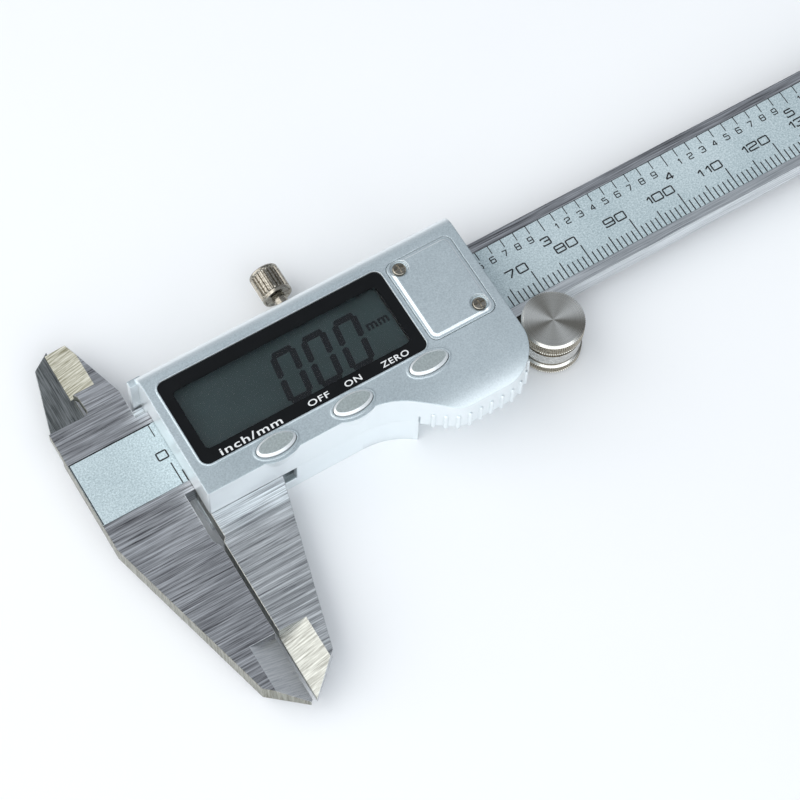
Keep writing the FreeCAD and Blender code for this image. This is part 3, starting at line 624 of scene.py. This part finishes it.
bm = bmesh.new()
for left in DIGIT_LEFTS:
    corners = []
    half = DIGIT_TALL / 2
    wide = DIGIT_WIDE - BAR
    for side in (0, 1):
        for row in (0, 1):
            rise = BAR / 2 + (half - BAR / 2) * (row + 0.5)
            corners += add_segment(bm, BAR / 2 + side * wide, rise, half - BAR / 2 - 0.3, True)
    for y in (BAR / 2, DIGIT_TALL - BAR / 2):
        corners += add_segment(bm, DIGIT_WIDE / 2, y, wide + BAR / 2 - 0.4, False)
    for vert in corners:
        x, y = vert.co.x, vert.co.y
        vert.co = at(left + x + y * SLANT, DIGIT_BASE + y, glass_top + 0.01)
faces = list(bm.faces)
lifted = bmesh.ops.extrude_face_region(bm, geom=faces)["geom"]
bmesh.ops.translate(bm, verts=[v for v in lifted if isinstance(v, bmesh.types.BMVert)], vec=(0, 0, 0.03 * MM))
material, shader, place = new_finish("crystal_dark", Roughness=0.45, Specular_IOR_Level=0.2)
mottle = noise(per_mm(place, 1, 1, 1), 2)
between(mottle, (0.001, 0.002, 0.004), (0.004, 0.005, 0.009)).into(shader, "Base Color")
crystal_dark = material
keep(bm, "display_digits", "slider", "display_glass", crystal_dark)


def lettering(name, text, left, base, wide, tall, z, rise, body, slot, material, weight=0.012):
    """Flat raised lettering fitted to a box wide by tall whose lower left corner is given."""
    words = bpy.data.curves.new(name, "FONT")
    words.body = text
    words.extrude = 0.5
    words.space_character = 1.12
    words.offset = weight
    drawn = bpy.data.objects.new(name, words)
    bpy.context.collection.objects.link(drawn)
    mesh = bpy.data.meshes.new_from_object(drawn.evaluated_get(bpy.context.evaluated_depsgraph_get()))
    bpy.data.objects.remove(drawn)
    bm = bmesh.new()
    bm.from_mesh(mesh)
    xs = [v.co.x for v in bm.verts]
    ys = [v.co.y for v in bm.verts]
    for vert in bm.verts:
        x = (vert.co.x - min(xs)) / (max(xs) - min(xs)) * wide
        y = (vert.co.y - min(ys)) / (max(ys) - min(ys)) * tall
        vert.co = at(left + x, base + y, z + vert.co.z * rise)
    bmesh.ops.remove_doubles(bm, verts=bm.verts, dist=0.0005 * MM)
    return keep(bm, name, body, slot, material)


lettering("display_unit", "mm", 38.6, -0.5, 4.1, 1.3, glass_top + 0.02, 0.03,
          "slider", "display_glass", crystal_dark, 0.035)

window_low, window_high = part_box("display_window")
window_top = (window_high.z - ZERO.z) / MM
window_bottom = (window_low.z - ZERO.z) / MM
OPENING = (4.85, 43.3, -6.2, 5.6)
edge = (
    (window_low.x - ZERO.x) / MM, (window_high.x - ZERO.x) / MM,
    (window_low.y - ZERO.y) / MM, (window_high.y - ZERO.y) / MM,
)


def rounded_plate(limits, corner, z0, z1, opening=None):
    """Flat plate with rounded corners, or a frame of that shape round an opening."""
    x0, x1, y0, y1 = limits
    bm = bmesh.new()
    bmesh.ops.create_grid(bm, x_segments=1, y_segments=1, size=0.5)
    for vert in bm.verts:
        vert.co = at(x0 + (vert.co.x + 0.5) * (x1 - x0), y0 + (vert.co.y + 0.5) * (y1 - y0), z0)
    round_off = {"affect": "VERTICES", "segments": 6, "profile": 0.5, "material": -1}
    bmesh.ops.bevel(bm, geom=list(bm.verts), offset=corner * MM, **round_off)
    if opening:
        a0, a1, b0, b1 = opening
        bmesh.ops.inset_region(bm, faces=list(bm.faces), thickness=0.3 * MM, use_boundary=True)
        centre = [f for f in bm.faces if len(f.verts) > 4][0]
        low, high = at(x0 + 0.3, y0 + 0.3, z0), at(x1 - 0.3, y1 - 0.3, z0)
        goal_low, goal_high = at(a0, b0, z0), at(a1, b1, z0)
        for vert in centre.verts:
            vert.co.x = goal_low.x + (vert.co.x - low.x) / (high.x - low.x) * (goal_high.x - goal_low.x)
            vert.co.y = goal_low.y + (vert.co.y - low.y) / (high.y - low.y) * (goal_high.y - goal_low.y)
        bmesh.ops.delete(bm, geom=[centre], context="FACES")
    lifted = bmesh.ops.extrude_face_region(bm, geom=list(bm.faces))["geom"]
    risen = [v for v in lifted if isinstance(v, bmesh.types.BMVert)]
    bmesh.ops.translate(bm, verts=risen, vec=(0, 0, (z1 - z0) * MM))
    return bm


material, shader, place = new_finish("mask_black", Specular_IOR_Level=0.22)
smear = noise(per_mm(place, 0.3, 0.3, 0.3), 3)
between(smear, (0.003, 0.0035, 0.004), (0.007, 0.008, 0.009)).into(shader, "Base Color")
(0.14 + smear * 0.1).into(shader, "Roughness")
mask_black = material
bm = rounded_plate(edge, 1.4, window_top - 0.16, window_top, OPENING)
keep(bm, "window_mask", "slider", "window_plastic", mask_black)

material, shader, place = new_finish("window_clear", Transmission_Weight=1.0, IOR=1.3)
smear = noise(per_mm(place, 0.5, 0.5, 0.5), 3)
between(smear, (0.93, 0.97, 0.97), (1.0, 1.0, 1.0)).into(shader, "Base Color")
(0.02 + smear * 0.05).into(shader, "Roughness")
x0, x1, y0, y1 = edge
bm = rounded_plate((x0 + 0.05, x1 - 0.05, y0 + 0.05, y1 - 0.05), 1.4, window_bottom, window_top - 0.17)
window = keep(bm, "window_clear", "slider", "window_plastic", material)
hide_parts("display_window")

material, shader, place = new_finish("print_white", Roughness=0.45)
mottle = noise(per_mm(place, 2, 2, 2), 2)
between(mottle, (0.70, 0.72, 0.72), (0.86, 0.87, 0.87)).into(shader, "Base Color")
print_white = material
LABEL_TOP = -7.0
LABELS = [
    ("label_unit", "inch/mm", 6.45, 11.4, 1.35), ("label_off", "OFF", 22.9, 3.95, 1.1),
    ("label_on", "ON", 29.8, 3.1, 1.1), ("label_zero", "ZERO", 36.8, 5.1, 1.1),
]
for name, text, left, wide, tall in LABELS:
    base = LABEL_TOP - tall
    lettering(name, text, left, base, wide, tall, window_top, 0.02,
              "slider", "window_plastic", print_white)


# ---- Buttons --------------------------------------------------------------------------------
# Three oval caps moulded in grey plastic with a satin top, each in its own hole; their bevels carry a painted
# highlight.
material, shader, place = new_finish("button_grey", Metallic=0.45, Coat_Weight=0.6, Coat_Roughness=0.08)
grain = noise(per_mm(place, 3, 3, 3), 3, 0.65)
cap = between(stretch(grain, 0.3, 0.7), (0.34, 0.39, 0.39), (0.50, 0.56, 0.56))
# Painted highlight: where the cap's surface leans away from flat, its colour turns pale.
rim = stretch(place.node("TexCoord", out="Normal").axis(2), 0.95, 0.8)
between(rim, cap, (0.86, 0.89, 0.90)).into(shader, "Base Color")
(0.3 + grain * 0.15).into(shader, "Roughness")
bumped(shader, grain, 0.006)
for node in ("unit_button", "power_button", "zero_button"):
    dress(node, material)


# ---- Battery cover --------------------------------------------------------------------------
# Thin cover plate with a raised bevelled panel, held by two small nickel screws.
dress("battery_cover", satin_silver)
dress("battery_cover_screws", nickel)


# ---- Rear housing ---------------------------------------------------------------------------
# Shallow tray behind the slider, cast like the front and fixed with flush screws.
broken_edges("rear_housing", 0.12, 2)
dress("rear_housing", satin_silver)
for node in ("rear_screws", "housing_screws"):
    dress(node, nickel)
